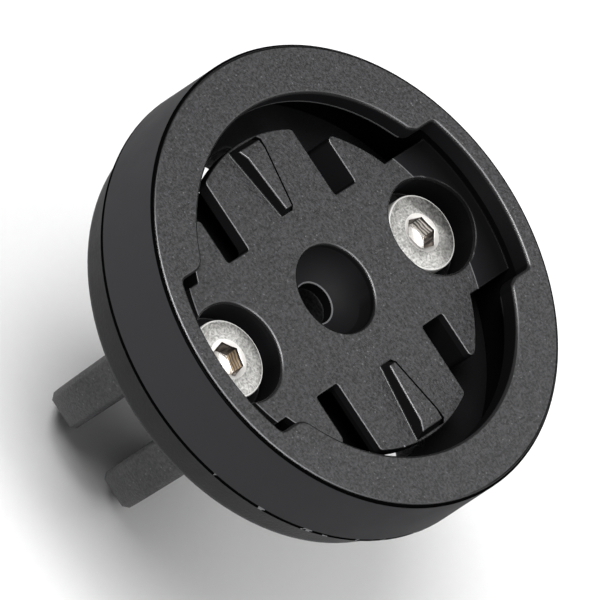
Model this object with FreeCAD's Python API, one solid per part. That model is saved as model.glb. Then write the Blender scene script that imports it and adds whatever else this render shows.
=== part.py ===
import FreeCAD, Part
import math
import os

# A quarter-turn socket on a two-finger camera base.
# Millimetres. The origin is the centre of the cross bore through the two fingers.
# +Z is the way the socket faces, X runs from screw to screw and Y along the cross bore.

# Heights
finger_reach = 12.3          # cross bore centre to the underside of the flange
flange_thick = 3.1
ring_height = 6.2
plate_drop = 2.7             # top of the ring down to the socket floor

# Socket ring
ring_top_r = 17.05
ring_draft = 0.1             # how much wider the ring is at its foot
ring_wall = 1.65             # the wall's inside is also the end of each entry notch
ring_edge = 0.2              # small bevel on the outer rims
lip_reach = 2.05             # how far each holding lip stands in from the wall
lip_thick = 1.5
lip_edge = 0.15
notch_half = 6.05            # half the width of an entry notch
lip_corner_r = 1.3           # rounded lead-in at the end of each lip
notch_corner_r = 0.5

# Socket floor
floor_gap = 1.48             # space between the floor's rim and a lip, seen from above
web_step = 0.67              # how much narrower the bridges to the wall are than a notch, each side
cove_reach = 2.7             # how far from the wall the floor starts to curve up
cove_r = 5.8
tab_half = 4.87
tab_thick = 1.0
slot_width = 2.36
tab_root_r = 0.5
floor_corner_r = 0.4
slot_corner_r = 0.25

# Detent rib on each tab, wider and higher towards the rim
rib_root_gap = 0.69          # from the root of the tab to the rib
rib_tip_gap = 0.22           # from the rib to the tip of the tab
rib_start_half = 0.62
rib_end_half = 1.55
rib_start_height = 0.62
rib_end_height = 0.88
rib_side_start = 0.27        # how far a side leans in at the narrow end
rib_side_end = 0.48          # and at the wide end
rib_lead = 0.3               # slope of the narrow end
rib_tail = 0.4               # slope of the wide end
rib_fall_reach = 0.6         # how far before the wide end the crest starts to fall
rib_fall = 0.15              # and by how much

# Bowl in the middle of the floor
bowl_r = 3.25
bowl_depth = 2.65
bowl_rim_depth = 0.5         # straight part under the rim, above the ball-shaped part
bowl_edge = 0.12
centre_hole_r = 1.5
centre_pocket_depth = 2.1    # how far the hole goes on into the base flange

# Cap screws, M3 with a low head, that end flush with the underside of the flange
head_r = 2.9
head_height = 1.5
head_sink = 1.1              # socket floor down to the top of the head
head_edge = 0.2
hex_across = 2.0
hex_depth = 1.2
hex_mouth_wide = 0.45        # how far the bevelled mouth reaches past the flats
hex_mouth_depth = 0.25
left_hex_turn = 18.0         # degrees, as the two screws happened to end up
right_hex_turn = 31.0
shank_r = 1.45
shank_point = 0.3
counterbore_gap = 0.7        # space all round a head
counterbore_inset = 0.77     # from the ring's wall to the edge of a counterbore
counterbore_edge = 0.12
screw_hole_gap = 0.15

# Brass inserts that the screws turn into
insert_wall = 0.6
insert_sink = 0.05           # how far an insert stays inside the flange, above and below
insert_groove_depth = 0.25
insert_groove_height = 0.6
insert_edge = 0.15
thread_gap = 0.05

# Base flange and fingers
flange_step = 1.1            # how far the foot of the ring stands out past the flange
flange_edge = 0.12
drain_length = 5.4
drain_width = 2.0
drain_inset = 0.67           # from the tip of a tab in to the middle of the slot below it
finger_end_r = 7.5
finger_gap_tip = 3.74        # space between the fingers at their tips
finger_thick_tip = 2.87
finger_draft_inner = 0.2     # each inner face leans by this from tip to flange
finger_draft_outer = 0.33
finger_edge = 0.36
finger_root_r = 0.8
bore_r = 2.55
bore_edge = 0.3              # bevel at the two outer mouths of the bore

overlap = 0.5                # how far joined solids run into each other
through = 1.0                # how far a cutter runs past the face it opens
near = 0.001                 # how close a point lies to count as on a line or face

ring_foot_r = ring_top_r + ring_draft
ring_wall_r = ring_top_r - ring_wall
lip_r = ring_wall_r - lip_reach
floor_r = lip_r - floor_gap
cove_start_r = ring_wall_r - cove_reach
flange_r = ring_foot_r - flange_step
drain_y = floor_r - drain_inset
web_half = notch_half - web_step
slot_outer_x = tab_half + slot_width
rib_start_y = web_half + rib_root_gap
rib_end_y = floor_r - rib_tip_gap
counterbore_r = head_r + counterbore_gap
screw_x = ring_wall_r - counterbore_inset - counterbore_r
core_r = shank_r + thread_gap
insert_r = core_r + insert_wall
finger_inner_y = finger_gap_tip / 2
finger_outer_y = finger_inner_y + finger_thick_tip

under_z = finger_reach
joint_z = under_z + flange_thick
top_z = joint_z + ring_height
floor_z = top_z - plate_drop
head_top_z = floor_z - head_sink
head_seat_z = head_top_z - head_height


def vec(x, y, z):
    return FreeCAD.Vector(x, y, z)


def box_between(low, high):
    return Part.makeBox(high[0] - low[0], high[1] - low[1], high[2] - low[2], vec(*low))


def upright(radius, low_z, high_z, x=0.0, y=0.0):
    return Part.makeCylinder(radius, high_z - low_z, vec(x, y, low_z))


def turned(points, x=0.0):
    # A solid of revolution about a vertical axis from (radius, height) pairs.
    corners = [vec(radius, 0, height) for radius, height in points]
    profile = Part.makePolygon(corners + corners[:1])
    solid = Part.Face(profile).revolve(vec(0, 0, 0), vec(0, 0, 1), 360)
    solid.translate(vec(x, 0, 0))
    return solid


def matches(value, target):
    return abs(value - target) < near


def upright_edges(shape, choose):
    # Vertical straight edges whose plan position passes the test.
    found = []
    for edge in shape.Edges:
        first = edge.Vertexes[0].Point
        last = edge.Vertexes[-1].Point
        is_upright = math.hypot(first.x - last.x, first.y - last.y) < near
        if is_upright and not matches(first.z, last.z) and choose(first):
            found.append(edge)
    return found


def edges_at_height(shape, height, choose):
    # Edges that lie flat at one height and whose points all pass the test.
    found = []
    for edge in shape.Edges:
        points = edge.discretize(7)
        if all(matches(point.z, height) and choose(point) for point in points):
            found.append(edge)
    return found


def plan_radius(point):
    return math.hypot(point.x, point.y)


# The opening between the lips, seen from above: a round hole with a notch at each screw.
def socket_opening():
    low_z = top_z - lip_thick - through
    high_z = top_z + through
    notches = box_between((-ring_wall_r, -notch_half, low_z), (ring_wall_r, notch_half, high_z))
    notches = notches.common(upright(ring_wall_r, low_z, high_z))
    opening = upright(lip_r, low_z, high_z).fuse(notches).removeSplitter()

    def at_lip(point):
        return matches(plan_radius(point), lip_r)

    def at_wall(point):
        return matches(abs(point.y), notch_half) and matches(plan_radius(point), ring_wall_r)

    opening = opening.makeFillet(lip_corner_r, upright_edges(opening, at_lip))
    return opening.makeFillet(notch_corner_r, upright_edges(opening, at_wall))


def socket_wall():
    wall = turned([
        (0, joint_z),
        (ring_foot_r - ring_edge, joint_z),
        (ring_foot_r, joint_z + ring_edge),
        (ring_top_r, top_z - ring_edge),
        (ring_top_r - ring_edge, top_z),
        (0, top_z),
    ])
    wall = wall.cut(upright(ring_wall_r, joint_z - through, top_z - lip_thick))
    wall = wall.cut(socket_opening())

    def inside(point):
        return plan_radius(point) < ring_wall_r + near

    return wall.makeChamfer(lip_edge, edges_at_height(wall, top_z, inside))


# The floor is one plate with two bridges to the wall and two tabs cut free by four slots.
def socket_floor():
    bridge_r = ring_wall_r + overlap
    bridges = box_between((-bridge_r, -web_half, joint_z), (bridge_r, web_half, floor_z))
    bridges = bridges.common(upright(bridge_r, joint_z, floor_z))
    floor = upright(floor_r, joint_z, floor_z).fuse(bridges).removeSplitter()
    reach = floor_r + through
    for side_x in (-1, 1):
        for side_y in (-1, 1):
            x_ends = sorted((side_x * tab_half, side_x * slot_outer_x))
            y_ends = sorted((side_y * web_half, side_y * reach))
            slot = box_between((x_ends[0], y_ends[0], joint_z - through),
                               (x_ends[1], y_ends[1], floor_z + through))
            start_y = side_y * web_half
            inner = upright_edges(slot, lambda point: matches(point.y, start_y))
            floor = floor.cut(slot.makeFillet(slot_corner_r, inner))

    def at_tip(point):
        beside_slot = matches(abs(point.x), tab_half) or matches(abs(point.x), slot_outer_x)
        return beside_slot and matches(plan_radius(point), floor_r)

    floor = floor.makeFillet(floor_corner_r, upright_edges(floor, at_tip))
    for side_y in (-1, 1):
        y_ends = sorted((side_y * web_half, side_y * reach))
        room = box_between((-slot_outer_x, y_ends[0], joint_z - through),
                           (slot_outer_x, y_ends[1], floor_z - tab_thick))
        start_y = side_y * web_half
        root = edges_at_height(room, floor_z - tab_thick, lambda point: matches(point.y, start_y))
        side_keep = (tab_half + slot_outer_x) / 2
        room = room.makeFillet(tab_root_r, root)
        room = room.common(box_between((-side_keep, -reach, joint_z - through),
                                       (side_keep, reach, floor_z)))
        floor = floor.cut(room)
    return floor


# The floor curves up into the wall at each entry notch.
def cove():
    back_r = ring_wall_r + overlap

    def height(radius):
        return cove_r - math.sqrt(cove_r ** 2 - (radius - cove_start_r) ** 2)

    middle_r = (cove_start_r + ring_wall_r) / 2
    rise = height(ring_wall_r)
    sweep = Part.Arc(vec(cove_start_r, 0, floor_z),
                     vec(middle_r, 0, floor_z + height(middle_r)),
                     vec(ring_wall_r, 0, floor_z + rise)).toShape()
    rest = Part.makePolygon([
        vec(ring_wall_r, 0, floor_z + rise),
        vec(back_r, 0, floor_z + rise),
        vec(back_r, 0, floor_z - overlap),
        vec(cove_start_r, 0, floor_z - overlap),
        vec(cove_start_r, 0, floor_z),
    ])
    profile = Part.Wire([sweep] + rest.Edges)
    band = Part.Face(profile).revolve(vec(0, 0, 0), vec(0, 0, 1), 360)
    return band.common(box_between((-back_r, -web_half, joint_z), (back_r, web_half, top_z)))


# A ball-shaped recess under a short straight rim, with a small hole on through the floor.
def bowl():
    rim_z = floor_z - bowl_rim_depth
    base_z = floor_z - bowl_depth
    ball_height = rim_z - base_z
    centre_z = base_z + (bowl_r ** 2 - centre_hole_r ** 2 + ball_height ** 2) / (2 * ball_height)
    ball_r = math.hypot(centre_hole_r, centre_z - base_z)
    ball = Part.makeSphere(ball_r, vec(0, 0, centre_z)).common(upright(bowl_r, base_z, rim_z))
    rim = upright(bowl_r, rim_z, floor_z + through)
    hole = upright(centre_hole_r, joint_z - through, rim_z)
    return ball.fuse([rim, hole]).removeSplitter()


def detent_rib(side_y):
    def section(foot_y, crest_y, half, lean, height):
        crest = half - lean
        corners = [
            vec(-half, side_y * foot_y, floor_z),
            vec(half, side_y * foot_y, floor_z),
            vec(crest, side_y * crest_y, floor_z + height),
            vec(-crest, side_y * crest_y, floor_z + height),
        ]
        return Part.makePolygon(corners + corners[:1])

    crest_start_y = rib_start_y + rib_lead
    crest_end_y = rib_end_y - rib_tail
    start = section(rib_start_y, crest_start_y, rib_start_half, rib_side_start, rib_start_height)
    end = section(rib_end_y, crest_end_y, rib_end_half, rib_side_end, rib_end_height)
    rib = Part.makeLoft([start, end], True, True)

    rise = (rib_end_height - rib_start_height) / (crest_end_y - crest_start_y)
    high_y = crest_end_y - rib_fall_reach
    high_z = floor_z + rib_start_height + rise * (high_y - crest_start_y)
    low_z = high_z - rib_fall * (rib_end_y - high_y) / rib_fall_reach
    above_fall = [
        vec(-rib_end_half, side_y * high_y, high_z),
        vec(-rib_end_half, side_y * rib_end_y, low_z),
        vec(-rib_end_half, side_y * rib_end_y, top_z),
        vec(-rib_end_half, side_y * high_y, top_z),
    ]
    wedge = Part.Face(Part.makePolygon(above_fall + above_fall[:1])).extrude(vec(2 * rib_end_half, 0, 0))
    return rib.cut(wedge)


def socket_moulding():
    body = socket_wall().fuse([socket_floor(), cove()]).removeSplitter()
    body = body.cut(bowl())
    for x in (-screw_x, screw_x):
        body = body.cut(upright(counterbore_r, head_seat_z, top_z, x))
        body = body.cut(upright(shank_r + screw_hole_gap, joint_z - through, head_seat_z + through, x))

    def on_bowl_rim(point):
        return matches(plan_radius(point), bowl_r)

    def on_counterbore_rim(edge):
        points = edge.discretize(5)
        on_wall = all(matches(math.hypot(abs(point.x) - screw_x, point.y), counterbore_r)
                      for point in points)
        return on_wall and min(point.z for point in points) > floor_z - near

    body = body.makeChamfer(bowl_edge, edges_at_height(body, floor_z, on_bowl_rim))
    rims = [edge for edge in body.Edges if on_counterbore_rim(edge)]
    body = body.makeChamfer(counterbore_edge, rims)
    body = body.fuse([detent_rib(1), detent_rib(-1)]).removeSplitter()
    return body


# One finger: a plate with a round end that gets a little thicker towards the flange.
def finger(side_y):
    tip_z = -finger_end_r
    inner_root_y = finger_inner_y - finger_draft_inner
    outer_root_y = finger_outer_y + finger_draft_outer
    corners = [
        vec(-finger_end_r, side_y * finger_inner_y, tip_z),
        vec(-finger_end_r, side_y * finger_outer_y, tip_z),
        vec(-finger_end_r, side_y * outer_root_y, under_z),
        vec(-finger_end_r, side_y * inner_root_y, under_z),
    ]
    slab = Part.Face(Part.makePolygon(corners + corners[:1])).extrude(vec(2 * finger_end_r, 0, 0))
    half_span = outer_root_y + through
    rounded = Part.makeCylinder(finger_end_r, 2 * half_span, vec(0, -half_span, 0), vec(0, 1, 0))
    straight = box_between((-finger_end_r, -half_span, 0), (finger_end_r, half_span, under_z))
    plate = slab.common(rounded.fuse(straight).removeSplitter())

    def on_outline(edge):
        points = edge.discretize(5)
        at_root = all(matches(point.z, under_z) for point in points)
        across = abs(points[0].y - points[-1].y) > finger_thick_tip / 2
        return not at_root and not across

    return plate.makeChamfer(finger_edge, [edge for edge in plate.Edges if on_outline(edge)])


# The cross bore through both fingers, opened out at its two outer mouths.
def finger_bore():
    half_span = finger_outer_y + finger_draft_outer + through
    bore = Part.makeCylinder(bore_r, 2 * half_span, vec(0, -half_span, 0), vec(0, 1, 0))
    outer_y = finger_outer_y + finger_draft_outer * finger_end_r / (finger_end_r + under_z)
    mouth_r = bore_r + bore_edge + through
    for side_y in (-1, 1):
        start = vec(0, side_y * (outer_y - bore_edge), 0)
        mouth = Part.makeCone(bore_r, mouth_r, bore_edge + through, start, vec(0, side_y, 0))
        bore = bore.fuse(mouth)
    return bore


def drain_slot(y):
    half = (drain_length - drain_width) / 2
    low_z = under_z - through
    high_z = joint_z + through
    middle = box_between((-half, y - drain_width / 2, low_z), (half, y + drain_width / 2, high_z))
    ends = [upright(drain_width / 2, low_z, high_z, x, y) for x in (-half, half)]
    return middle.fuse(ends).removeSplitter()


def thread_insert(x):
    low_z = under_z + insert_sink
    high_z = joint_z - insert_sink
    groove_low = (low_z + high_z - insert_groove_height) / 2
    groove_high = groove_low + insert_groove_height
    groove_r = insert_r - insert_groove_depth
    return turned([
        (core_r, low_z),
        (insert_r - insert_edge, low_z),
        (insert_r, low_z + insert_edge),
        (insert_r, groove_low),
        (groove_r, groove_low),
        (groove_r, groove_high),
        (insert_r, groove_high),
        (insert_r, high_z),
        (core_r, high_z),
    ], x)


def base_moulding():
    flange = turned([
        (0, under_z),
        (flange_r - flange_edge, under_z),
        (flange_r, under_z + flange_edge),
        (flange_r, joint_z),
        (0, joint_z),
    ])
    body = flange.fuse([finger(1), finger(-1)]).removeSplitter()
    root_reach_y = finger_outer_y + finger_draft_outer

    def by_finger(point):
        return abs(point.x) < finger_end_r + near and abs(point.y) < root_reach_y + near

    body = body.makeFillet(finger_root_r, edges_at_height(body, under_z, by_finger))
    body = body.cut(finger_bore())
    body = body.cut(upright(centre_hole_r, joint_z - centre_pocket_depth, joint_z + through))
    for y in (-drain_y, drain_y):
        body = body.cut(drain_slot(y))
    for x in (-screw_x, screw_x):
        insert = thread_insert(x)
        core = upright(core_r, under_z - through, joint_z + through, x)
        mouth = upright(insert_r, joint_z - insert_sink, joint_z + through, x)
        body = body.cut(insert).cut(core).cut(mouth)
    return body


def cap_screw(x, hex_turn):
    screw = turned([
        (0, under_z),
        (shank_r - shank_point, under_z),
        (shank_r, under_z + shank_point),
        (shank_r, head_seat_z),
        (head_r, head_seat_z),
        (head_r, head_top_z - head_edge),
        (head_r - head_edge, head_top_z),
        (0, head_top_z),
    ], x)
    corner_r = hex_across / math.sqrt(3)
    hex_z = head_top_z - hex_depth
    corners = []
    for step in range(6):
        angle = math.radians(60 * step + hex_turn)
        corners.append(vec(x + corner_r * math.cos(angle), corner_r * math.sin(angle), hex_z))
    socket = Part.Face(Part.makePolygon(corners + corners[:1])).extrude(vec(0, 0, hex_depth + through))
    mouth_low = vec(x, 0, head_top_z - hex_mouth_depth)
    flat_r = hex_across / 2
    mouth = Part.makeCone(flat_r, flat_r + hex_mouth_wide, hex_mouth_depth, mouth_low)
    return screw.cut(socket).cut(mouth)


nodes = {
    "socket_moulding": socket_moulding(),
    "finger_base_moulding": base_moulding(),
    "left_cap_screw": cap_screw(-screw_x, left_hex_turn),
    "right_cap_screw": cap_screw(screw_x, right_hex_turn),
    "left_thread_insert": thread_insert(-screw_x),
    "right_thread_insert": thread_insert(screw_x),
}

os.makedirs("parts", exist_ok=True)
for name, shape in nodes.items():
    shape.Solids[0].exportStep("parts/" + name + ".step")
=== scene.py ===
import math

import bpy
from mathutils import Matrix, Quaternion, Vector


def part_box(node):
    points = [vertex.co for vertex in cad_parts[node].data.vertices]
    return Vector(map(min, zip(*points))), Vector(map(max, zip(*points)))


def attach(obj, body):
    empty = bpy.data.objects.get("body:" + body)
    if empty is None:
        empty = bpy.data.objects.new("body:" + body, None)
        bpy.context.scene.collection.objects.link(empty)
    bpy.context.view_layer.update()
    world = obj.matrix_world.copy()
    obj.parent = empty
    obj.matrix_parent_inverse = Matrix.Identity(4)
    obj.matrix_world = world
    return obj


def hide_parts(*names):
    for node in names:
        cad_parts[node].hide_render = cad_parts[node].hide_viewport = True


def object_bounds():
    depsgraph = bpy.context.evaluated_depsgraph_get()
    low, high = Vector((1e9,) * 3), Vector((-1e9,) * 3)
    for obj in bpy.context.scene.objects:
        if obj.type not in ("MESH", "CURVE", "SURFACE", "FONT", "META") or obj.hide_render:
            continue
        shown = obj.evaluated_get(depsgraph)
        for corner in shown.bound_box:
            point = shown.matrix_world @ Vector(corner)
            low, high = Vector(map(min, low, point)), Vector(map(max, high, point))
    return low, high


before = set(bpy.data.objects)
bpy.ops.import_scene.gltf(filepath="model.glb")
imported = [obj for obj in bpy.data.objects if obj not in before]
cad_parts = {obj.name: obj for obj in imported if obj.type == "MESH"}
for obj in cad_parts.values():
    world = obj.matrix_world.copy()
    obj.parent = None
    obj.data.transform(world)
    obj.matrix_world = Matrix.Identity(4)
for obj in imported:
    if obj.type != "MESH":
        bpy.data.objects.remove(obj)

# The round quarter-turn socket faces +Z and the two fingers point down. Screws stand at -X and +X.
MM = 0.001
cad_low, cad_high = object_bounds()

socket_low, socket_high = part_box("socket_moulding")
head_low, head_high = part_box("right_cap_screw")
screw_x = (head_low.x + head_high.x) / 2
head_top_z = head_high.z
head_r = (head_high.x - head_low.x) / 2 - 0.06 * MM
base_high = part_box("finger_base_moulding")[1]

# Sizes of the screws
seat_z = head_top_z - 1.5 * MM
head_rounding = 0.1 * MM
shank_r = 1.45 * MM
core_r = shank_r - 0.3 * MM
pitch = 0.5 * MM
ridge_r = 0.35 * MM
hex_r = 1.26 * MM
hex_depth = 1.3 * MM
drill_r = 1.05 * MM
drill_depth = 0.6 * MM
mouth_r = 1.45 * MM
mouth_low_r = 1.05 * MM
mouth_depth = 0.1 * MM

# Sizes of the socket that its finish, painted shade and painted highlights follow
plate_z = socket_high.z - 2.7 * MM
deep_z = plate_z - 0.6 * MM
lip_under_z = socket_high.z - 1.5 * MM
wall_r = socket_high.x - 1.75 * MM
outside_r = wall_r + 0.5 * MM
lip_r = wall_r - 2.05 * MM
cove_start_r = wall_r - 2.7 * MM
bowl_r = 3.4 * MM
hole_r = 1.5 * MM
ring_edge = 0.2 * MM
rib_half = 1.9 * MM
crest_start_y = 6.37 * MM
crest_start_half = 0.35 * MM
crest_end_y = 11.25 * MM
crest_end_half = 1.07 * MM


# Colours are written as they look on a screen and turned to linear light here.
def linear(hex_colour):
    channels = []
    for start in (1, 3, 5):
        value = int(hex_colour[start:start + 2], 16) / 255
        channels.append(value / 12.92 if value <= 0.04045 else ((value + 0.055) / 1.055) ** 2.4)
    return (*channels, 1.0)


# Adds one node with its settings and links. For an input, a value is set, a socket is linked, and a
# node is linked by the first output that it shows.
def add_node(tree, kind, inputs=None, **settings):
    made = tree.nodes.new("ShaderNode" + kind)
    for name, value in settings.items():
        setattr(made, name, value)
    for name, value in (inputs or {}).items():
        if isinstance(value, bpy.types.Node):
            value = next(output for output in value.outputs if not output.is_unavailable)
        if isinstance(value, bpy.types.NodeSocket):
            tree.links.new(value, made.inputs[name])
        else:
            made.inputs[name].default_value = value
    return made


def new_material(name):
    material = bpy.data.materials.new(name)
    material.use_nodes = True
    material.node_tree.nodes.clear()
    return material, material.node_tree


# 1 where the rounded normal leaves the true face, which is within the radius of an edge, else 0.
def edge_share(tree, rounded):
    true_face = add_node(tree, "NewGeometry").outputs["Normal"]
    facing = add_node(tree, "VectorMath", {0: rounded, 1: true_face}, operation="DOT_PRODUCT")
    return add_node(tree, "MapRange", {"Value": facing, "From Min": 0.999, "From Max": 0.97})


# Distance from an upright axis at the given x.
def axis_distance(tree, place, centre_x=0.0):
    moved = add_node(tree, "VectorMath", {0: place, 1: (centre_x, 0.0, 0.0)}, operation="SUBTRACT")
    level = add_node(tree, "VectorMath", {0: moved, 1: (1.0, 1.0, 0.0)}, operation="MULTIPLY")
    return add_node(tree, "VectorMath", {0: level}, operation="LENGTH")


# Glass-filled black nylon, injection moulded. The tool's flat faces were spark eroded, which gives a
# fine matt grain with glints of glass. Its turned outer side is satin, its upright inner faces are
# dull and darker, and every edge is a little smoother, so that it draws a thin line of light.
def moulded_nylon(name, side_grain, side_colour, side_gloss, edge_mm, edge_strength, details):
    material, tree = new_material(name)
    place = add_node(tree, "TexCoord").outputs["Object"]
    radius = axis_distance(tree, place)
    normal = add_node(tree, "NewGeometry").outputs["Normal"]
    upward = add_node(tree, "SeparateXYZ", {0: normal}).outputs["Z"]
    level = add_node(tree, "Math", {0: upward}, operation="ABSOLUTE")
    marks = details(tree, place, radius, level)

    soft = add_node(tree, "Bevel", {"Radius": edge_mm * MM}, samples=8)
    rounded = add_node(tree, "Math", {0: edge_share(tree, soft), 1: edge_strength}, operation="MULTIPLY")
    edge = add_node(tree, "Math", {0: rounded, 1: marks["smooth"]}, operation="MAXIMUM")
    off_edge = add_node(tree, "Math", {0: 1.0, 1: edge}, operation="SUBTRACT")
    dull = add_node(tree, "Math", {0: marks["dull"], 1: off_edge}, operation="MULTIPLY")
    grained = add_node(tree, "MapRange", {"Value": marks["flat"], "To Min": side_grain})

    # Painted highlight on edges that lean towards -X, painted black shade on those that lean towards +X.
    lit_edge_way = (-0.5, 0.0, 0.866)
    lit_edge_lean = add_node(tree, "VectorMath", {0: soft, 1: lit_edge_way}, operation="DOT_PRODUCT")
    lit_edge_facing = add_node(tree, "MapRange", {"Value": lit_edge_lean, "From Min": 0.9, "From Max": 0.98})
    lit_edge = add_node(tree, "Math", {0: rounded, 1: lit_edge_facing}, operation="MULTIPLY")
    painted_edge_highlight = add_node(tree, "Math", {0: lit_edge, 1: marks["takes_edge_highlight"]}, operation="MULTIPLY")
    no_edge_highlight = add_node(tree, "Math", {0: 1.0, 1: painted_edge_highlight}, operation="SUBTRACT")
    shaded_edge_lean = add_node(tree, "SeparateXYZ", {0: soft}).outputs["X"]
    shaded_edge_facing = add_node(tree, "MapRange", {"Value": shaded_edge_lean, "From Min": 0.06, "From Max": 0.25})
    painted_edge_shade = add_node(tree, "Math", {0: rounded, 1: shaded_edge_facing}, operation="MULTIPLY")
    shade = add_node(tree, "Math", {0: marks["dark"], 1: painted_edge_shade}, operation="MAXIMUM")
    dark = add_node(tree, "Math", {0: shade, 1: no_edge_highlight}, operation="MULTIPLY")
    not_dark = add_node(tree, "Math", {0: 1.0, 1: dark}, operation="SUBTRACT")

    # The real grain of about 0.05 mm is too fine to show, so it is drawn coarser.
    grain_mm = 0.19
    grain = add_node(tree, "TexNoise", {"Vector": place, "Scale": 1 / (grain_mm * MM), "Detail": 3.0,
                                        "Roughness": 0.65})
    grain_share = add_node(tree, "MapRange", {"Value": grain, "From Min": 0.36, "From Max": 0.64})
    # Single fibres near the surface catch the light, painted as light dots of about 0.1 mm.
    fibre_mm = 0.55
    fibres = add_node(tree, "TexVoronoi", {"Vector": place, "Scale": 1 / (fibre_mm * MM),
                                           "Randomness": 1.0})
    glint = add_node(tree, "MapRange", {"Value": fibres, "From Min": 0.14, "From Max": 0.06,
                                        "To Max": 0.35})
    # White dust, one grain in several square millimetres.
    dust_mm = 2.6
    dust_cells = add_node(tree, "TexVoronoi", {"Vector": place, "Scale": 1 / (dust_mm * MM),
                                               "Randomness": 1.0})
    dust_grain = add_node(tree, "MapRange", {"Value": dust_cells, "From Min": 0.04, "From Max": 0.025})
    cell_number = add_node(tree, "SeparateXYZ", {0: dust_cells.outputs["Color"]})
    picked = add_node(tree, "Math", {0: cell_number, 1: 0.85}, operation="GREATER_THAN")
    dust = add_node(tree, "Math", {0: dust_grain, 1: picked}, operation="MULTIPLY")

    grain_colour = add_node(tree, "Mix", {"Factor": grain_share, "A": linear("#121213"),
                                          "B": linear("#3e3e40")}, data_type="RGBA")
    glinting = add_node(tree, "Mix", {"Factor": glint, "A": grain_colour, "B": linear("#8c8c8e")},
                        data_type="RGBA")
    colour = add_node(tree, "Mix", {"Factor": grained, "A": linear(side_colour), "B": glinting},
                      data_type="RGBA")
    # Each of these lies over the ones before it. The dark layer is painted shade, the pale one a painted
    # edge highlight, and the light one painted highlight lines with real scuffs.
    layers = ((dull, "#202022"), (edge, "#1c1c1d"), (dark, "#060606"), (painted_edge_highlight, "#8e8e90"),
              (marks["light"], "#7c7c7e"), (dust, "#a2a2a4"))
    for share, layer in layers:
        colour = add_node(tree, "Mix", {"Factor": share, "A": colour, "B": linear(layer)},
                          data_type="RGBA")

    # The mould's polish differs a little from place to place.
    cloud_mm = 1.9
    cloud = add_node(tree, "TexNoise", {"Vector": place, "Scale": 1 / (cloud_mm * MM), "Detail": 2.0,
                                        "Roughness": 0.5})
    drift = add_node(tree, "MapRange", {"Value": cloud, "From Min": 0.3, "From Max": 0.7,
                                        "To Min": -0.04, "To Max": 0.04})
    face_rough = add_node(tree, "MapRange", {"Value": grained, "To Min": 0.6, "To Max": 0.5})
    drifting = add_node(tree, "Math", {0: face_rough, 1: drift}, operation="ADD")
    rough = add_node(tree, "Mix", {"Factor": edge, "A": drifting, "B": 0.24})
    face_gloss = add_node(tree, "MapRange", {"Value": grained, "To Min": side_gloss, "To Max": 0.5})
    inner_gloss = add_node(tree, "Mix", {"Factor": dull, "A": face_gloss, "B": marks["dull_gloss"]})
    edge_gloss = add_node(tree, "Mix", {"Factor": edge, "A": inner_gloss, "B": 0.55})
    gloss = add_node(tree, "Math", {0: edge_gloss, 1: not_dark}, operation="MULTIPLY")

    relief = grain
    dull_relief = add_node(tree, "MapRange", {"Value": dull, "To Min": 1.0, "To Max": 0.35})
    for share in (grained, off_edge, dull_relief):
        relief = add_node(tree, "Math", {0: relief, 1: share}, operation="MULTIPLY")
    bump = add_node(tree, "Bump", {"Strength": 1.0, "Distance": 0.09 * MM, "Height": relief,
                                   "Normal": soft})
    shader = add_node(tree, "BsdfPrincipled", {"Base Color": colour, "Roughness": rough, "IOR": 1.53,
                                               "Specular IOR Level": gloss, "Normal": bump})
    add_node(tree, "OutputMaterial", {"Surface": shader})
    return material
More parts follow.
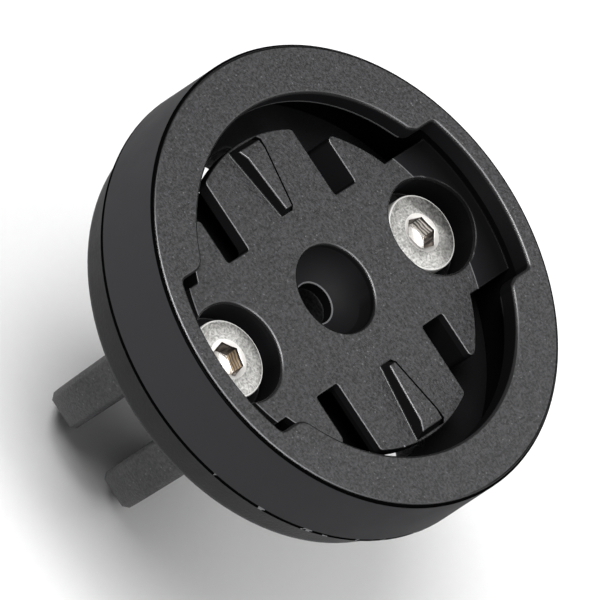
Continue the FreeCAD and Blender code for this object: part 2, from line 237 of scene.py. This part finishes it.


# Where the socket is flat, smooth or dull, where its edges take the painted edge highlight, where it has
# painted highlight lines or real scuffs, and where painted shade darkens it, each as a share from 0 to
# 1, and how much its dull faces shine.
def socket_details(tree, place, radius, level):
    at = add_node(tree, "SeparateXYZ", {0: place}).outputs
    off_x = add_node(tree, "Math", {0: at["X"]}, operation="ABSOLUTE")
    off_y = add_node(tree, "Math", {0: at["Y"]}, operation="ABSOLUTE")
    inner = add_node(tree, "Math", {0: radius, 1: wall_r}, operation="LESS_THAN")
    outer = add_node(tree, "Math", {0: radius, 1: outside_r}, operation="GREATER_THAN")
    deep = add_node(tree, "Math", {0: at["Z"], 1: deep_z}, operation="LESS_THAN")
    under_lips = add_node(tree, "Math", {0: at["Z"], 1: lip_under_z}, operation="LESS_THAN")
    normal = add_node(tree, "NewGeometry").outputs["Normal"]
    towards_y = add_node(tree, "SeparateXYZ", {0: normal}).outputs["Y"]
    turned_y = add_node(tree, "MapRange", {"Value": towards_y, "From Max": 0.6})
    not_turned_y = add_node(tree, "Math", {0: 1.0, 1: turned_y}, operation="SUBTRACT")

    # The bowl, and the coves where the floor curves up into the wall of each notch, aren't flat.
    below_plate = add_node(tree, "Math", {0: at["Z"], 1: plate_z - 0.02 * MM}, operation="LESS_THAN")
    near_middle = add_node(tree, "Math", {0: radius, 1: bowl_r}, operation="LESS_THAN")
    in_bowl = add_node(tree, "Math", {0: below_plate, 1: near_middle}, operation="MULTIPLY")
    in_cove = add_node(tree, "Math", {0: radius, 1: cove_start_r + 0.03 * MM}, operation="GREATER_THAN")
    for share in (inner, under_lips):
        in_cove = add_node(tree, "Math", {0: in_cove, 1: share}, operation="MULTIPLY")
    curved = add_node(tree, "Math", {0: in_bowl, 1: in_cove}, operation="MAXIMUM")
    not_curved = add_node(tree, "Math", {0: 1.0, 1: curved}, operation="SUBTRACT")
    faces_up = add_node(tree, "MapRange", {"Value": level, "From Min": 0.78, "From Max": 0.9})
    flat = add_node(tree, "Math", {0: faces_up, 1: not_curved}, operation="MULTIPLY")

    # Inner faces that aren't flat, or lie deep, are dull. Upright ones shine least.
    not_flat = add_node(tree, "Math", {0: 1.0, 1: flat}, operation="SUBTRACT")
    hard_to_reach = add_node(tree, "Math", {0: not_flat, 1: deep}, operation="MAXIMUM")
    dull = add_node(tree, "Math", {0: inner, 1: hard_to_reach}, operation="MULTIPLY")
    wall_gloss = add_node(tree, "MapRange", {"Value": level, "From Min": 0.1, "From Max": 0.7,
                                             "To Min": 0.06, "To Max": 0.22})
    bowl_gloss = add_node(tree, "Mix", {"Factor": in_bowl, "A": wall_gloss, "B": 0.14})
    dull_gloss = add_node(tree, "Mix", {"Factor": in_cove, "A": bowl_gloss, "B": 0.03})

    # The small bevels at 45 degrees round the plate and the rim are smooth.
    half_turned = math.sqrt(0.5)
    sloping = add_node(tree, "Math", {0: level, 1: half_turned, 2: 0.03}, operation="COMPARE")
    not_sunk = add_node(tree, "Math", {0: at["Z"], 1: plate_z - 0.14 * MM}, operation="GREATER_THAN")
    smooth = add_node(tree, "Math", {0: sloping, 1: not_sunk}, operation="MULTIPLY")

    # A faint painted highlight line where the floor starts to curve up
    by_plate = add_node(tree, "Math", {0: at["Z"], 1: plate_z, 2: 0.02 * MM}, operation="COMPARE")
    cove_highlight_line = add_node(tree, "Math", {0: radius, 1: cove_start_r, 2: 0.05 * MM}, operation="COMPARE")
    cove_highlight_strength = 0.5
    for share in (by_plate, cove_highlight_strength):
        cove_highlight_line = add_node(tree, "Math", {0: cove_highlight_line, 1: share}, operation="MULTIPLY")

    # Painted highlight lines on the lips' lower edges
    lip_highlight = add_node(tree, "Math", {0: radius, 1: lip_r, 2: 0.08 * MM}, operation="COMPARE")
    lip_foot_z = lip_under_z + 0.06 * MM
    at_lip_foot = add_node(tree, "Math", {0: at["Z"], 1: lip_foot_z, 2: 0.1 * MM}, operation="COMPARE")
    for share in (at_lip_foot, not_turned_y):
        lip_highlight = add_node(tree, "Math", {0: lip_highlight, 1: share}, operation="MULTIPLY")

    # A painted highlight round the far half of the small hole
    hole_rim_highlight = add_node(tree, "Math", {0: radius, 1: hole_r + 0.06 * MM, 2: 0.05 * MM},
                        operation="COMPARE")
    far_half = add_node(tree, "Math", {0: at["X"], 1: -0.4 * MM}, operation="GREATER_THAN")
    hole_rim_highlight_strength = 0.65
    for share in (far_half, deep, hole_rim_highlight_strength):
        hole_rim_highlight = add_node(tree, "Math", {0: hole_rim_highlight, 1: share}, operation="MULTIPLY")

    # The foot of the ring is a painted dark shade line, with white scuffed flash in a few places on one
    # side.
    foot_z = socket_low.z + ring_edge + 0.28 * MM
    low = add_node(tree, "Math", {0: at["Z"], 1: foot_z}, operation="LESS_THAN")
    foot = add_node(tree, "Math", {0: low, 1: outer}, operation="MULTIPLY")
    scuff_mm = 1.3
    scuffs = add_node(tree, "TexNoise", {"Vector": place, "Scale": 1 / (scuff_mm * MM), "Detail": 3.0,
                                         "Roughness": 0.6})
    scuffed = add_node(tree, "Math", {0: scuffs, 1: 0.585}, operation="GREATER_THAN")
    past_y = add_node(tree, "Math", {0: at["Y"], 1: -4.0 * MM}, operation="LESS_THAN")
    past_x = add_node(tree, "Math", {0: at["X"], 1: 3.0 * MM}, operation="LESS_THAN")
    for share in (past_y, past_x, foot):
        scuffed = add_node(tree, "Math", {0: scuffed, 1: share}, operation="MULTIPLY")
    foot_shade = add_node(tree, "Math", {0: foot, 1: scuffed}, operation="SUBTRACT")

    # Painted shade: the ribs' sides are darkened, and a painted black shadow line runs down the crest on
    # the side towards +X.
    on_rib = add_node(tree, "Math", {0: at["Z"], 1: plate_z + 0.02 * MM}, operation="GREATER_THAN")
    off_lips = add_node(tree, "Math", {0: radius, 1: lip_r - 0.1 * MM}, operation="LESS_THAN")
    on_rib = add_node(tree, "Math", {0: on_rib, 1: off_lips}, operation="MULTIPLY")
    rib_side_shade = add_node(tree, "Math", {0: level, 1: 0.6}, operation="LESS_THAN")
    rib_side_shade_strength = 0.75
    for share in (on_rib, rib_side_shade_strength):
        rib_side_shade = add_node(tree, "Math", {0: rib_side_shade, 1: share}, operation="MULTIPLY")
    within_rib = add_node(tree, "Math", {0: off_x, 1: rib_half}, operation="LESS_THAN")
    past_root = add_node(tree, "Math", {0: off_y, 1: crest_start_y - 0.7 * MM}, operation="GREATER_THAN")
    by_rib = add_node(tree, "Math", {0: within_rib, 1: past_root}, operation="MULTIPLY")
    crest_half = add_node(tree, "MapRange", {"Value": off_y, "From Min": crest_start_y,
                                             "From Max": crest_end_y, "To Min": crest_start_half,
                                             "To Max": crest_end_half})
    past_crest = add_node(tree, "Math", {0: at["X"], 1: crest_half}, operation="SUBTRACT")
    crest_shadow_line = add_node(tree, "Math", {0: past_crest, 1: -0.15 * MM}, operation="GREATER_THAN")
    for share in (on_rib, by_rib):
        crest_shadow_line = add_node(tree, "Math", {0: crest_shadow_line, 1: share}, operation="MULTIPLY")

    # Painted shade: the coves darken towards the wall, and the one at -X is dark all over.
    start_shade = add_node(tree, "MapRange", {"Value": at["X"], "From Min": -2.0 * MM,
                                              "From Max": 2.0 * MM, "To Min": 0.9, "To Max": 0.2})
    wall_shade = add_node(tree, "MapRange", {"Value": radius, "From Min": cove_start_r,
                                             "From Max": wall_r - 0.5 * MM, "To Min": start_shade,
                                             "To Max": 0.85})
    cove_shade = add_node(tree, "Math", {0: in_cove, 1: wall_shade}, operation="MULTIPLY")

    # Painted shade: the groove and the bowl are darker towards -Y, and upright walls where they face +Y.
    groove_shade = add_node(tree, "MapRange", {"Value": at["Y"], "From Min": 4.0 * MM,
                                               "From Max": -4.0 * MM, "To Max": 0.5})
    for share in (deep, inner):
        groove_shade = add_node(tree, "Math", {0: groove_shade, 1: share}, operation="MULTIPLY")
    bowl_shade = add_node(tree, "MapRange", {"Value": at["Y"], "From Min": 1.5 * MM,
                                             "From Max": -1.0 * MM, "To Max": 0.5})
    bowl_shade = add_node(tree, "Math", {0: bowl_shade, 1: in_bowl}, operation="MULTIPLY")
    upright_shade = add_node(tree, "Math", {0: level, 1: 0.5}, operation="LESS_THAN")
    upright_strength = 0.7
    for share in (inner, turned_y, upright_strength):
        upright_shade = add_node(tree, "Math", {0: upright_shade, 1: share}, operation="MULTIPLY")
    # Painted shade in the small hole
    in_hole = add_node(tree, "Math", {0: radius, 1: hole_r + 0.01 * MM}, operation="LESS_THAN")
    in_hole = add_node(tree, "Math", {0: in_hole, 1: deep}, operation="MULTIPLY")
    hole_strength = 0.75
    hole_shade = add_node(tree, "Math", {0: in_hole, 1: hole_strength}, operation="MULTIPLY")

    # Painted shade: the rim's top ends in a thin black line where it turns away towards +X, and its
    # rounding carries a painted dark reflection of the studio's front, as one black line round the side.
    rim_end_r = socket_high.x - ring_edge - 0.22 * MM
    rim_end_shade = add_node(tree, "Math", {0: radius, 1: rim_end_r}, operation="GREATER_THAN")
    turning_away = add_node(tree, "MapRange", {"Value": at["X"], "From Min": -6.0 * MM,
                                               "From Max": 0.0, "To Max": 0.85})
    for share in (turning_away, flat):
        rim_end_shade = add_node(tree, "Math", {0: rim_end_shade, 1: share}, operation="MULTIPLY")
    rim_line_z = socket_high.z - 0.16 * MM
    under_rim_reflection = add_node(tree, "Math", {0: at["Z"], 1: rim_line_z, 2: 0.13 * MM}, operation="COMPARE")
    under_rim_reflection = add_node(tree, "Math", {0: under_rim_reflection, 1: outer}, operation="MULTIPLY")

    # The painted edge highlight is left off the hole, the notches' walls and the feet of the ribs.
    in_notch = add_node(tree, "Math", {0: radius, 1: lip_r + 0.1 * MM}, operation="GREATER_THAN")
    within_wall = add_node(tree, "Math", {0: radius, 1: wall_r + 0.1 * MM}, operation="LESS_THAN")
    above_plate = add_node(tree, "Math", {0: at["Z"], 1: plate_z + 0.05 * MM},
                           operation="GREATER_THAN")
    for share in (within_wall, above_plate, under_lips):
        in_notch = add_node(tree, "Math", {0: in_notch, 1: share}, operation="MULTIPLY")
    rib_foot = add_node(tree, "Math", {0: at["Z"], 1: plate_z + 0.1 * MM}, operation="LESS_THAN")
    rib_foot_unhighlit = 0.75
    for share in (by_rib, rib_foot_unhighlit):
        rib_foot = add_node(tree, "Math", {0: rib_foot, 1: share}, operation="MULTIPLY")

    together = []
    for shares in ((cove_highlight_line, lip_highlight, hole_rim_highlight, scuffed),
                   (rib_side_shade, crest_shadow_line, cove_shade, groove_shade, bowl_shade, upright_shade,
                    hole_shade, rim_end_shade, under_rim_reflection, foot_shade),
                   (in_hole, in_notch, rib_foot)):
        most = shares[0]
        for share in shares[1:]:
            most = add_node(tree, "Math", {0: most, 1: share}, operation="MAXIMUM")
        together.append(most)
    light, dark, unhighlit = together
    takes_edge_highlight = add_node(tree, "Math", {0: 1.0, 1: unhighlit}, operation="SUBTRACT")
    return {"takes_edge_highlight": takes_edge_highlight, "flat": flat, "smooth": smooth, "dull": dull, "dull_gloss": dull_gloss,
            "light": light, "dark": dark}


# The same for the base. The face that the ring covers is dull with painted shade towards -Y, the
# flange's side is darker than the fingers, and painted shade darkens the joint and the small hole.
def base_details(tree, place, radius, level):
    at = add_node(tree, "SeparateXYZ", {0: place}).outputs
    flat = add_node(tree, "MapRange", {"Value": level, "From Min": 0.94, "From Max": 0.995})
    not_flat = add_node(tree, "Math", {0: 1.0, 1: flat}, operation="SUBTRACT")
    covered = add_node(tree, "Math", {0: at["Z"], 1: socket_low.z - 0.05 * MM},
                       operation="GREATER_THAN")
    rim = add_node(tree, "Math", {0: radius, 1: base_high.x - 0.3 * MM}, operation="GREATER_THAN")
    side = add_node(tree, "Math", {0: rim, 1: not_flat}, operation="MULTIPLY")
    dull = add_node(tree, "Math", {0: covered, 1: side}, operation="MAXIMUM")
    dull_gloss = add_node(tree, "Mix", {"Factor": side, "A": 0.08, "B": 0.2})

    # Painted shade on the flange's rim just under the ring
    joint_shade = add_node(tree, "Math", {0: at["Z"], 1: socket_low.z - 0.12 * MM},
                          operation="GREATER_THAN")
    joint_shade = add_node(tree, "Math", {0: joint_shade, 1: rim}, operation="MULTIPLY")
    in_hole = add_node(tree, "Math", {0: radius, 1: hole_r + 0.2 * MM}, operation="LESS_THAN")
    near_top = add_node(tree, "Math", {0: at["Z"], 1: base_high.z - 2.5 * MM}, operation="GREATER_THAN")
    hole_strength = 0.65
    for share in (near_top, hole_strength):
        in_hole = add_node(tree, "Math", {0: in_hole, 1: share}, operation="MULTIPLY")
    covered_shade = add_node(tree, "MapRange", {"Value": at["Y"], "From Min": 4.0 * MM,
                                                "From Max": -4.0 * MM, "To Max": 0.5})
    covered_shade = add_node(tree, "Math", {0: covered_shade, 1: covered}, operation="MULTIPLY")
    darker_all_over = 0.1
    dark = joint_shade
    for share in (in_hole, covered_shade, darker_all_over):
        dark = add_node(tree, "Math", {0: dark, 1: share}, operation="MAXIMUM")
    takes_edge_highlight = add_node(tree, "Math", {0: 1.0, 1: dark}, operation="SUBTRACT")
    return {"takes_edge_highlight": takes_edge_highlight, "flat": flat, "smooth": 0.0, "dull": dull, "dull_gloss": dull_gloss,
            "light": 0.0, "dark": dark}


# Stainless steel screw, cold headed and tumbled: a fine mottle with faint worm-like marks all over the
# face, a white rubbed rim with a painted highlight, a bright coined mouth, and broach marks across the
# brightest wall of the hexagon. Its walls carry a painted reflection and are dark at their top edge.
def tumbled_stainless(name, centre_x, bright_turn, wall_reflection_dark, wall_reflection_light):
    material, tree = new_material(name)
    place = add_node(tree, "TexCoord").outputs["Object"]
    height_z = add_node(tree, "SeparateXYZ", {0: place}).outputs["Z"]
    radius = axis_distance(tree, place, centre_x)
    true_face = add_node(tree, "NewGeometry").outputs["True Normal"]
    level = add_node(tree, "SeparateXYZ", {0: true_face}).outputs["Z"]
    inside = add_node(tree, "Math", {0: radius, 1: mouth_r + 0.01 * MM}, operation="LESS_THAN")
    upright = add_node(tree, "Math", {0: level, 1: 0.5}, operation="LESS_THAN")
    not_upright = add_node(tree, "Math", {0: 1.0, 1: upright}, operation="SUBTRACT")
    wall = add_node(tree, "Math", {0: inside, 1: upright}, operation="MULTIPLY")
    mouth = add_node(tree, "Math", {0: inside, 1: not_upright}, operation="MULTIPLY")
    rim = add_node(tree, "Math", {0: radius, 1: head_r - 0.12 * MM}, operation="GREATER_THAN")

    # The real marks of about 0.05 mm are too fine to show, so they are drawn coarser.
    mottle_mm = 0.2
    mottle = add_node(tree, "TexNoise", {"Vector": place, "Scale": 1 / (mottle_mm * MM), "Detail": 3.0,
                                         "Roughness": 0.6})
    worm_mm = 0.75
    worm = add_node(tree, "TexNoise", {"Vector": place, "Scale": 1 / (worm_mm * MM), "Detail": 1.5,
                                       "Roughness": 0.5, "Distortion": 0.8})
    worm_turns = 36.0
    worm_angle = add_node(tree, "Math", {0: worm, 1: worm_turns}, operation="MULTIPLY")
    wave = add_node(tree, "Math", {0: worm_angle}, operation="SINE")
    worm_share = add_node(tree, "MapRange", {"Value": wave, "From Min": -1.0})
    marks = add_node(tree, "Mix", {"Factor": 0.84, "A": worm_share, "B": mottle})
    mark_share = add_node(tree, "MapRange", {"Value": marks, "From Min": 0.33, "From Max": 0.67})

    # Broach marks run across the wall. The wave texture has 20 / (2 pi) turns in a unit.
    broach_mm = 0.27
    broach = add_node(tree, "TexWave", {"Vector": place, "Scale": math.tau / 20 / (broach_mm * MM),
                                        "Distortion": 2.5, "Detail": 1.0, "Detail Scale": 2.0},
                      bands_direction="Z").outputs["Fac"]
    bright_way = (-math.cos(math.radians(bright_turn)), -math.sin(math.radians(bright_turn)), 0.0)
    facing = add_node(tree, "VectorMath", {0: true_face, 1: bright_way}, operation="DOT_PRODUCT")
    bright = add_node(tree, "Math", {0: facing, 1: 0.9}, operation="GREATER_THAN")
    bright_wall = add_node(tree, "Math", {0: wall, 1: bright}, operation="MULTIPLY")
    smear_mm = 0.3
    stretched = add_node(tree, "Mapping", {"Vector": place, "Scale": (1.0, 1.0, 0.2)})
    smear = add_node(tree, "TexNoise", {"Vector": stretched, "Scale": 1 / (smear_mm * MM),
                                        "Detail": 2.0})
    smear_share = add_node(tree, "MapRange", {"Value": smear, "From Min": 0.4, "From Max": 0.65})
    top_line_z = head_top_z - mouth_depth - 0.16 * MM
    top_line = add_node(tree, "Math", {0: height_z, 1: top_line_z}, operation="GREATER_THAN")

    # Painted reflection on the walls: broach streaks on the brightest one, smeared tones on the rest.
    streaks = add_node(tree, "Mix", {"Factor": broach, "A": linear(wall_reflection_dark),
                                     "B": linear(wall_reflection_light)}, data_type="RGBA")
    smeared_reflection = add_node(tree, "Mix", {"Factor": smear_share, "A": linear("#1d1916"),
                                    "B": linear("#6e6660")}, data_type="RGBA")
    walls = add_node(tree, "Mix", {"Factor": bright, "A": smeared_reflection, "B": streaks}, data_type="RGBA")
    lined_walls = add_node(tree, "Mix", {"Factor": top_line, "A": walls, "B": linear("#1a1512")},
                           data_type="RGBA")
    face = add_node(tree, "Mix", {"Factor": mark_share, "A": linear("#989794"),
                                  "B": linear("#e2e1de")}, data_type="RGBA")
    rimmed = add_node(tree, "Mix", {"Factor": rim, "A": face, "B": linear("#e6e5e2")},
                      data_type="RGBA")
    coined = add_node(tree, "Mix", {"Factor": mouth, "A": rimmed, "B": linear("#f6f3ef")},
                      data_type="RGBA")
    colour = add_node(tree, "Mix", {"Factor": wall, "A": coined, "B": lined_walls},
                      data_type="RGBA")

    # The rubbed rim and the broached wall scatter light, so they look less like a mirror; being partly
    # non-metal, their light colour also shows as a painted highlight.
    rim_scatter_highlight = add_node(tree, "Math", {0: rim, 1: 0.6}, operation="MULTIPLY")
    wall_scatter_highlight = add_node(tree, "Math", {0: bright_wall, 1: 0.45}, operation="MULTIPLY")
    scatter_highlight = add_node(tree, "Math", {0: rim_scatter_highlight, 1: wall_scatter_highlight}, operation="MAXIMUM")
    metallic = add_node(tree, "Math", {0: 1.0, 1: scatter_highlight}, operation="SUBTRACT")
    face_rough = add_node(tree, "MapRange", {"Value": mottle, "From Min": 0.3, "From Max": 0.7,
                                             "To Min": 0.38, "To Max": 0.5})
    rough = add_node(tree, "Mix", {"Factor": rim, "A": face_rough, "B": 0.5})
    soft = add_node(tree, "Bevel", {"Radius": 0.08 * MM}, samples=8)
    bump = add_node(tree, "Bump", {"Strength": 1.0, "Distance": 0.012 * MM, "Height": marks,
                                   "Normal": soft})
    shader = add_node(tree, "BsdfPrincipled", {"Base Color": colour, "Metallic": metallic,
                                               "Roughness": rough, "Normal": bump})
    add_node(tree, "OutputMaterial", {"Surface": shader})
    return material


# Turned brass of the threaded inserts, a little dull.
def turned_brass(name):
    material, tree = new_material(name)
    place = add_node(tree, "TexCoord").outputs["Object"]
    rings_mm = 0.12
    rings = add_node(tree, "TexWave", {"Vector": place, "Scale": math.tau / 20 / (rings_mm * MM),
                                       "Distortion": 0.4}, bands_direction="Z").outputs["Fac"]
    tarnish_mm = 0.6
    tarnish = add_node(tree, "TexNoise", {"Vector": place, "Scale": 1 / (tarnish_mm * MM),
                                          "Detail": 2.0})
    colour = add_node(tree, "Mix", {"Factor": tarnish, "A": linear("#c9a45a"),
                                    "B": linear("#a67f3c")}, data_type="RGBA")
    bump = add_node(tree, "Bump", {"Strength": 0.5, "Distance": 0.01 * MM, "Height": rings})
    shader = add_node(tree, "BsdfPrincipled", {"Base Color": colour, "Metallic": 1.0,
                                               "Roughness": 0.35, "Normal": bump})
    add_node(tree, "OutputMaterial", {"Surface": shader})
    return material


# Matt white studio board, with a faint paper tooth.
def studio_board(name):
    material, tree = new_material(name)
    place = add_node(tree, "TexCoord").outputs["Object"]
    tooth_mm = 0.8
    tooth = add_node(tree, "TexNoise", {"Vector": place, "Scale": 1 / (tooth_mm * MM), "Detail": 2.0})
    colour = add_node(tree, "Mix", {"Factor": tooth, "A": linear("#f1f1f1"),
                                    "B": linear("#f4f4f4")}, data_type="RGBA")
    shader = add_node(tree, "BsdfPrincipled", {"Base Color": colour, "Roughness": 0.9})
    add_node(tree, "OutputMaterial", {"Surface": shader})
    return material


def give(node_name, material):
    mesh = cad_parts[node_name].data
    mesh.materials.clear()
    mesh.materials.append(material)


socket_nylon = moulded_nylon("satin_and_grained_nylon", side_grain=0.0, side_colour="#38383a",
                             side_gloss=0.03, edge_mm=0.17, edge_strength=1.0, details=socket_details)
base_nylon = moulded_nylon("grained_nylon", side_grain=1.0, side_colour="#262627",
                           side_gloss=0.45, edge_mm=0.4, edge_strength=0.25, details=base_details)
brass = turned_brass("turned_brass")
give("socket_moulding", socket_nylon)
give("finger_base_moulding", base_nylon)
give("left_thread_insert", brass)
give("right_thread_insert", brass)


def apply_modifier(piece, kind, **settings):
    modifier = piece.modifiers.new(kind.lower(), kind)
    for name, value in settings.items():
        setattr(modifier, name, value)
    bpy.context.view_layer.objects.active = piece
    bpy.ops.object.modifier_apply(modifier=modifier.name)


# Takes the cutter out of the piece and throws the cutter away.
def cut(piece, cutter):
    apply_modifier(piece, "BOOLEAN", operation="DIFFERENCE", solver="EXACT", object=cutter)
    bpy.data.objects.remove(cutter)


def cylinder(radius, low_z, high_z, centre_x, sides, turn=0.0):
    bpy.ops.object.select_all(action="DESELECT")
    bpy.ops.mesh.primitive_cylinder_add(vertices=sides, radius=radius, depth=high_z - low_z,
                                        location=(centre_x, 0, (low_z + high_z) / 2),
                                        rotation=(0, 0, math.radians(turn)))
    return bpy.context.object


def cone(low_r, high_r, low_z, high_z, centre_x, sides):
    bpy.ops.object.select_all(action="DESELECT")
    bpy.ops.mesh.primitive_cone_add(vertices=sides, radius1=low_r, radius2=high_r,
                                    depth=high_z - low_z,
                                    location=(centre_x, 0, (low_z + high_z) / 2))
    return bpy.context.object


# The helical ridge of the thread: a three-sided profile wound down the shank.
def thread_ridge(centre_x, low_z, high_z):
    bpy.ops.object.select_all(action="DESELECT")
    bpy.ops.mesh.primitive_circle_add(vertices=3, radius=ridge_r, fill_type="NGON",
                                      location=(core_r - 0.05 * MM, 0, high_z - ridge_r),
                                      rotation=(math.radians(90), 0, 0))
    ridge = bpy.context.object
    bpy.ops.object.transform_apply(location=True, rotation=True, scale=True)
    turns = int((high_z - low_z - 2 * ridge_r) / pitch)
    steps_a_turn = 32
    apply_modifier(ridge, "SCREW", axis="Z", angle=math.radians(360), screw_offset=-pitch,
                   iterations=turns, steps=steps_a_turn, render_steps=steps_a_turn)
    ridge.location = (centre_x, 0, 0)
    bpy.ops.object.transform_apply(location=True, rotation=False, scale=False)
    return ridge


# M3 cap screw with a low flat head: rounded rim, shallow coined mouth, broached hexagon, thread.
def cap_screw(node_name, centre_x, hex_turn, material):
    over = 0.1 * MM
    head_sides = 96
    shank_sides = 48
    head = cylinder(head_r, seat_z, head_top_z, centre_x, head_sides)
    shank = cylinder(core_r, head_low.z, seat_z, centre_x, shank_sides)
    apply_modifier(head, "BOOLEAN", operation="UNION", solver="EXACT", object=shank)
    bpy.data.objects.remove(shank)
    apply_modifier(head, "BEVEL", width=head_rounding, segments=3, limit_method="ANGLE")
    # Blender's cylinder has its first corner on +Y, so a hexagon comes turned by 30 degrees.
    first_corner = 30.0
    hex_low_z = head_top_z - hex_depth
    cut(head, cylinder(hex_r, hex_low_z, head_top_z + MM, centre_x, 6, hex_turn - first_corner))
    drill_top_z = hex_low_z + over / 10
    cut(head, cone(0, drill_r, drill_top_z - drill_depth, drill_top_z, centre_x, shank_sides))
    mouth_slope = (mouth_r - mouth_low_r) / mouth_depth
    cut(head, cone(mouth_low_r, mouth_r + over * mouth_slope, head_top_z - mouth_depth,
                   head_top_z + over, centre_x, head_sides))
    ridge = thread_ridge(centre_x, head_low.z + 0.1 * MM, seat_z - 0.2 * MM)
    head.select_set(True)
    ridge.select_set(True)
    bpy.context.view_layer.objects.active = head
    bpy.ops.object.join()
    bpy.ops.object.transform_apply(location=True, rotation=True, scale=True)
    bpy.ops.object.mode_set(mode="EDIT")
    bpy.ops.mesh.select_all(action="SELECT")
    bpy.ops.mesh.normals_make_consistent(inside=False)
    bpy.ops.object.mode_set(mode="OBJECT")
    bpy.ops.object.shade_smooth_by_angle(angle=math.radians(25))
    head.name = node_name + "_threaded"
    head.data.materials.clear()
    head.data.materials.append(material)
    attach(head, "root")
    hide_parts(node_name)


# The hexagons' walls carry a painted reflection, brown in the left screw and nearly white in the right
# one.
left_steel = tumbled_stainless("stainless_left", -screw_x, bright_turn=-17.0,
                               wall_reflection_dark="#66584a", wall_reflection_light="#b5a083")
right_steel = tumbled_stainless("stainless_right", screw_x, bright_turn=16.0,
                                wall_reflection_dark="#4e4743", wall_reflection_light="#f2eee8")
cap_screw("left_cap_screw", -screw_x, hex_turn=13.0, material=left_steel)
cap_screw("right_cap_screw", screw_x, hex_turn=46.0, material=right_steel)


# The floor lies at the finger tips.
floor_half = 2.0
bpy.ops.object.select_all(action="DESELECT")
bpy.ops.mesh.primitive_plane_add(size=2 * floor_half, location=(0, 0, cad_low.z))
floor = bpy.context.object
floor.name = "studio_floor"
floor.data.materials.append(studio_board("studio_board"))


# Azimuth is counted from +X towards +Y.
def direction(azimuth, elevation):
    flat = math.cos(math.radians(elevation))
    return Vector((flat * math.cos(math.radians(azimuth)), flat * math.sin(math.radians(azimuth)),
                   math.sin(math.radians(elevation))))


def place_lamp(data, towards, distance):
    lamp = bpy.data.objects.new(data.name, data)
    bpy.context.scene.collection.objects.link(lamp)
    lamp.location = Vector((0, 0, socket_high.z)) + towards * distance
    lamp.rotation_mode = "QUATERNION"
    lamp.rotation_quaternion = towards.to_track_quat("Z", "Y")


def far_light(name, azimuth, elevation, strength, spread):
    data = bpy.data.lights.new(name, "SUN")
    data.energy = strength
    data.angle = math.radians(spread)
    place_lamp(data, direction(azimuth, elevation), 1.0)


# A flat lamp of the given size and radiance that faces the socket. Its width lies across Y.
def softbox(name, azimuth, elevation, distance, width, length, radiance):
    data = bpy.data.lights.new(name, "AREA")
    data.shape = "RECTANGLE"
    data.size = width
    data.size_y = length
    data.energy = radiance * math.pi * width * length
    place_lamp(data, direction(azimuth, elevation), distance)


# The key light gives the dark walls their shape, the back softbox is mirrored by the flat faces, and
# the overhead strip lifts the side and the fingers.
far_light("key_light", azimuth=128, elevation=62, strength=2.25, spread=35)
softbox("back_softbox", azimuth=-26, elevation=41, distance=0.12, width=0.1, length=0.092,
        radiance=1.74)
softbox("overhead_strip", azimuth=180, elevation=74, distance=0.25, width=0.6, length=0.06,
        radiance=5.5)

world = bpy.data.worlds.new("studio")
bpy.context.scene.world = world
world.use_nodes = True
world.node_tree.nodes["Background"].inputs["Color"].default_value = linear("#ffffff")
world.node_tree.nodes["Background"].inputs["Strength"].default_value = 0.17

bpy.context.scene.view_settings.view_transform = "Standard"


# The camera looks down at 45 degrees from -X through a long lens and is rolled about its own axis.
camera_place_mm = Vector((-388.8, -1.87, 411.97))
view_azimuth = 180.38
view_elevation = 45.57
view_roll = 56.38
lens_mm = 488.06
sensor_mm = 36.0

camera_data = bpy.data.cameras.new("camera")
camera_data.lens = lens_mm
camera_data.sensor_width = sensor_mm
camera_data.clip_start = 0.05
camera_data.clip_end = 20.0
camera = bpy.data.objects.new("camera", camera_data)
bpy.context.scene.collection.objects.link(camera)
unrolled = direction(view_azimuth, view_elevation).to_track_quat("Z", "Y")
camera.location = camera_place_mm * MM
camera.rotation_mode = "QUATERNION"
camera.rotation_quaternion = unrolled @ Quaternion((0, 0, 1), math.radians(view_roll))
bpy.context.scene.camera = camera
